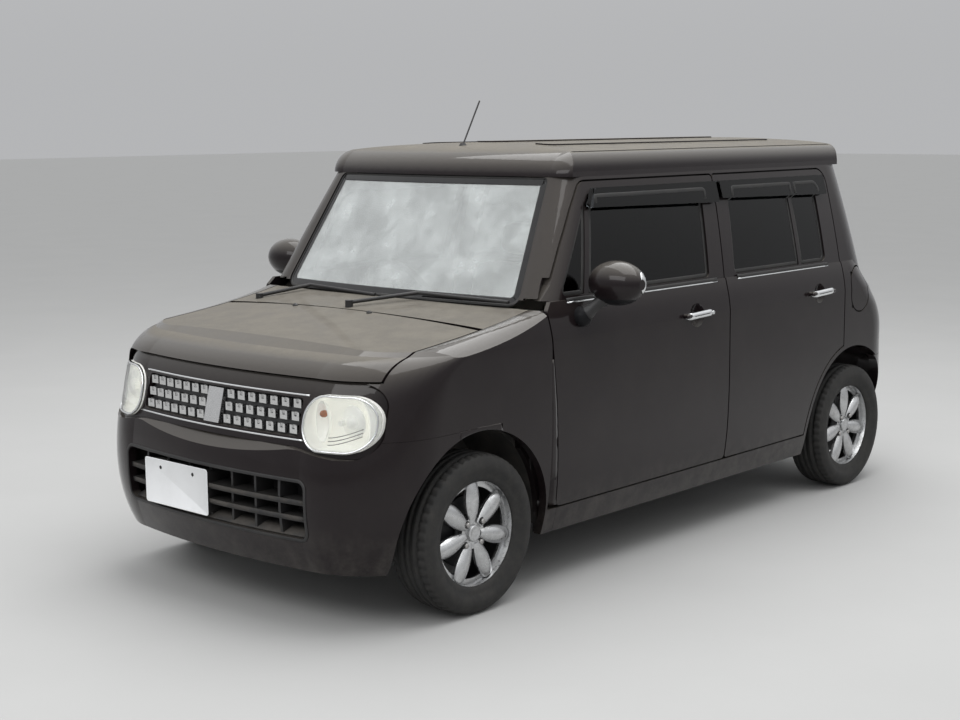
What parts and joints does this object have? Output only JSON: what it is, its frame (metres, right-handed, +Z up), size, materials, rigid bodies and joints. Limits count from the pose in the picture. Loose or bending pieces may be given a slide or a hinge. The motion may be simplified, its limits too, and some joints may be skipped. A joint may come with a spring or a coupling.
{
  "type": "kei car",
  "caption": "Small boxy five-door hatchback with opening doors, bonnet and tailgate, turning wheels and linked steering.",
  "frame": {"origin": "on the ground below the middle of the car's overall length", "axes": "front towards -Y, its left side towards +X, +Z up"},
  "size_m": [1.8752, 3.3962, 1.6615],
  "materials": {
    "paint": "very dark brown metallic paint, glossy, light dust",
    "dusty_paint": "the same paint under a coat of grey-brown dust",
    "trim": "grained black plastic",
    "glass": "clear laminated glass",
    "tinted_glass": "dark tinted glass and smoked visors",
    "lens": "clear moulded lamp lens",
    "red_lens": "red lamp lens",
    "reflector": "bright reflector",
    "bright": "bright plated plastic",
    "alloy": "silver painted alloy with brake dust",
    "tyre": "worn dusty tyre rubber",
    "iron": "dark iron and black painted steel, road dirt",
    "underbody": "dull underbody coat",
    "interior": "soft grained dark plastic",
    "cloth": "woven seat cloth"
  },
  "bodies": {
    "root": {"body_side_left": "paint", "body_side_right": "paint", "roof": "dusty_paint", "cowl": "trim", "front_mask": "paint", "front_fenders": "paint", "front_bumper": "paint", "rear_bumper": "paint", "grille": "bright", "lower_grille": "trim", "headlamps": "reflector", "headlamp_lenses": "lens", "tail_lamps": "red_lens", "windscreen": "glass", "wipers": "trim", "antenna": "trim", "floor_pan": "underbody", "front_suspension": "iron", "rear_axle": "iron", "engine_block": "iron", "exhaust": "iron", "fuel_tank": "underbody", "dashboard": "interior", "front_seats": "cloth", "rear_seat": "cloth"},
    "bonnet": {"bonnet": "dusty_paint"},
    "tailgate": {"tailgate": "paint", "tailgate_glass": "tinted_glass"},
    "fuel_lid": {"fuel_lid": "paint"},
    "steering_wheel": {"steering_wheel": "interior"},
    "knuckle_left": {"knuckle_left": "iron"},
    "knuckle_right": {"knuckle_right": "iron"},
    "door_front_left": {"door_front_left": "paint", "window_front_left": "tinted_glass", "mirror_left": "paint"},
    "wheel_front_left": {"tyre_front_left": "tyre", "rim_front_left": "alloy"},
    "door_front_right": {"door_front_right": "paint", "window_front_right": "tinted_glass", "mirror_right": "paint"},
    "wheel_front_right": {"tyre_front_right": "tyre", "rim_front_right": "alloy"},
    "door_rear_left": {"door_rear_left": "paint", "window_rear_left": "tinted_glass"},
    "wheel_rear_left": {"tyre_rear_left": "tyre", "rim_rear_left": "alloy"},
    "door_rear_right": {"door_rear_right": "paint", "window_rear_right": "tinted_glass"},
    "wheel_rear_right": {"tyre_rear_right": "tyre", "rim_rear_right": "alloy"}
  },
  "joints": [
    {"name": "bonnet_hinge", "type": "hinge", "parent": "root", "child": "bonnet", "pos_m": [0, -1.1125, 0.88], "axis": [-1, 0, 0], "range_deg": [0, 55]},
    {"name": "tailgate_hinge", "type": "hinge", "parent": "root", "child": "tailgate", "pos_m": [0, 1.4245, 1.3725], "axis": [1, 0, 0], "range_deg": [0, 80]},
    {"name": "fuel_lid_hinge", "type": "hinge", "parent": "root", "child": "fuel_lid", "pos_m": [0.7245, 1.229, 0.85], "axis": [0, 0, -1], "range_deg": [0, 100]},
    {"name": "steering_wheel_turn", "type": "hinge", "parent": "root", "child": "steering_wheel", "pos_m": [-0.34, -0.42, 0.88], "axis": [0, 0.8829, 0.4695], "range_deg": [-525, 525]},
    {"name": "door_front_left_hinge", "type": "hinge", "parent": "root", "child": "door_front_left", "pos_m": [0.7175, -0.735, 0.6], "axis": [0, 0, -1], "range_deg": [0, 65]},
    {"name": "door_rear_left_hinge", "type": "hinge", "parent": "root", "child": "door_rear_left", "pos_m": [0.7175, 0.3285, 0.6], "axis": [0, 0, -1], "range_deg": [0, 68]},
    {"name": "steering_left", "type": "hinge", "parent": "root", "child": "knuckle_left", "pos_m": [0.575, -1.1525, 0.265], "axis": [0, 0, 1], "range_deg": [-35, 35]},
    {"name": "wheel_front_left_spin", "type": "hinge", "parent": "knuckle_left", "child": "wheel_front_left", "pos_m": [0.6475, -1.1525, 0.265], "axis": [1, 0, 0], "continuous": true},
    {"name": "wheel_rear_left_spin", "type": "hinge", "parent": "root", "child": "wheel_rear_left", "pos_m": [0.6475, 1.2475, 0.265], "axis": [1, 0, 0], "continuous": true},
    {"name": "door_front_right_hinge", "type": "hinge", "parent": "root", "child": "door_front_right", "pos_m": [-0.7175, -0.735, 0.6], "axis": [0, 0, 1], "range_deg": [0, 65]},
    {"name": "door_rear_right_hinge", "type": "hinge", "parent": "root", "child": "door_rear_right", "pos_m": [-0.7175, 0.3285, 0.6], "axis": [0, 0, 1], "range_deg": [0, 68]},
    {"name": "steering_right", "type": "hinge", "parent": "root", "child": "knuckle_right", "pos_m": [-0.575, -1.1525, 0.265], "axis": [0, 0, 1], "range_deg": [-35, 35]},
    {"name": "wheel_front_right_spin", "type": "hinge", "parent": "knuckle_right", "child": "wheel_front_right", "pos_m": [-0.6475, -1.1525, 0.265], "axis": [1, 0, 0], "continuous": true},
    {"name": "wheel_rear_right_spin", "type": "hinge", "parent": "root", "child": "wheel_rear_right", "pos_m": [-0.6475, 1.2475, 0.265], "axis": [1, 0, 0], "continuous": true}
  ],
  "couplings": [
    {"joint": "steering_left", "follows": "steering_wheel_turn", "ratio": 0.066667},
    {"joint": "steering_right", "follows": "steering_wheel_turn", "ratio": 0.066667}
  ]
}
